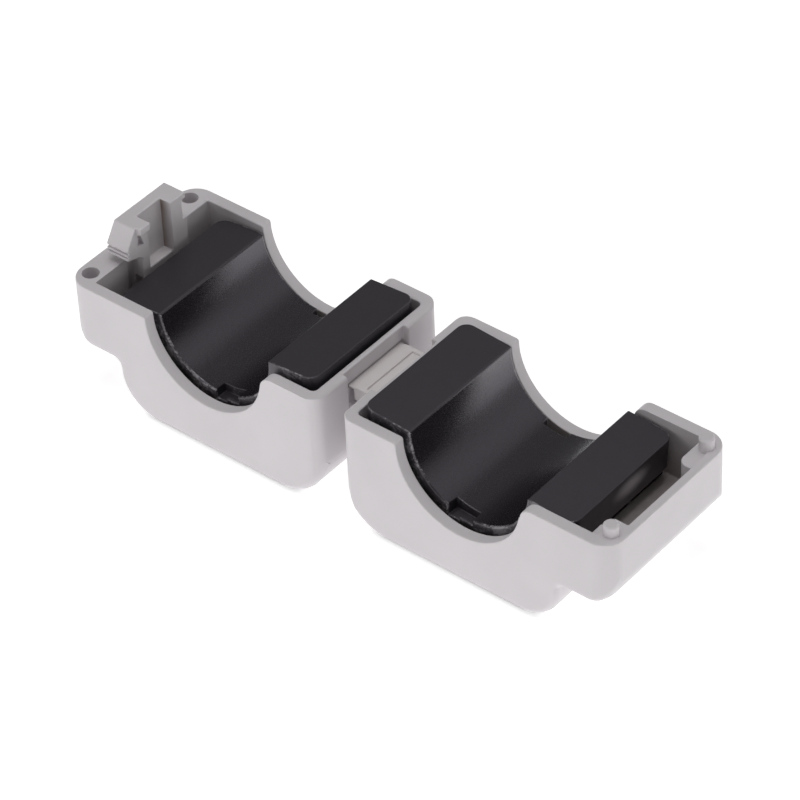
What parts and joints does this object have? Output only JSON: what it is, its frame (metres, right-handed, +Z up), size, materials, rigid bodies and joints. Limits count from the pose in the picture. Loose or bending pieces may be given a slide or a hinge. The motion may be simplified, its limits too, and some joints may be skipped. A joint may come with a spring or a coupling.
{
  "type": "clip on ferrite bead",
  "caption": "Split cable ferrite lying open: two moulded half cases joined by a folding strap, each holding a half-round ferrite core, with a latch tongue and locating pegs.",
  "frame": {"origin": "middle of the strap between the two halves, at the height of the case bottoms", "axes": "+X from the half with the latch tongue to the half with the locating pegs, Y along the cable, +Z up out of the open halves"},
  "size_m": [0.0628, 0.018, 0.0165],
  "materials": {
    "case": "fine moulded satin, light warm grey",
    "strap": "fine moulded satin, slightly warmer grey",
    "ferrite": "sintered and tumbled, near black, low sheen"
  },
  "bodies": {
    "latch_half": {"latch_half": "case"},
    "catch_half": {"catch_half": "case"},
    "hinge_strap": {"hinge_strap": "strap"},
    "latch_core": {"latch_core": "ferrite"},
    "catch_core": {"catch_core": "ferrite"}
  },
  "joints": [
    {"name": "strap_fold", "type": "hinge", "parent": "latch_half", "child": "hinge_strap", "pos_m": [-0.0019, 0, 0.01062], "axis": [0, -1, 0], "range_deg": [0, 90]},
    {"name": "catch_fold", "type": "hinge", "parent": "hinge_strap", "child": "catch_half", "pos_m": [0.0019, 0, 0.01062], "axis": [0, -1, 0], "range_deg": [0, 90]},
    {"name": "latch_core_rock", "type": "hinge", "parent": "latch_half", "child": "latch_core", "pos_m": [-0.01473, 0, 0.01257], "axis": [0, 1, 0], "range_deg": [0, 4]},
    {"name": "catch_core_rock", "type": "hinge", "parent": "catch_half", "child": "catch_core", "pos_m": [0.01473, 0, 0.01257], "axis": [0, -1, 0], "range_deg": [0, 4]}
  ],
  "couplings": [
    {"joint": "catch_fold", "follows": "strap_fold", "ratio": 1},
    {"joint": "latch_core_rock", "follows": "strap_fold", "ratio": 0.044444},
    {"joint": "catch_core_rock", "follows": "strap_fold", "ratio": 0.044444}
  ]
}
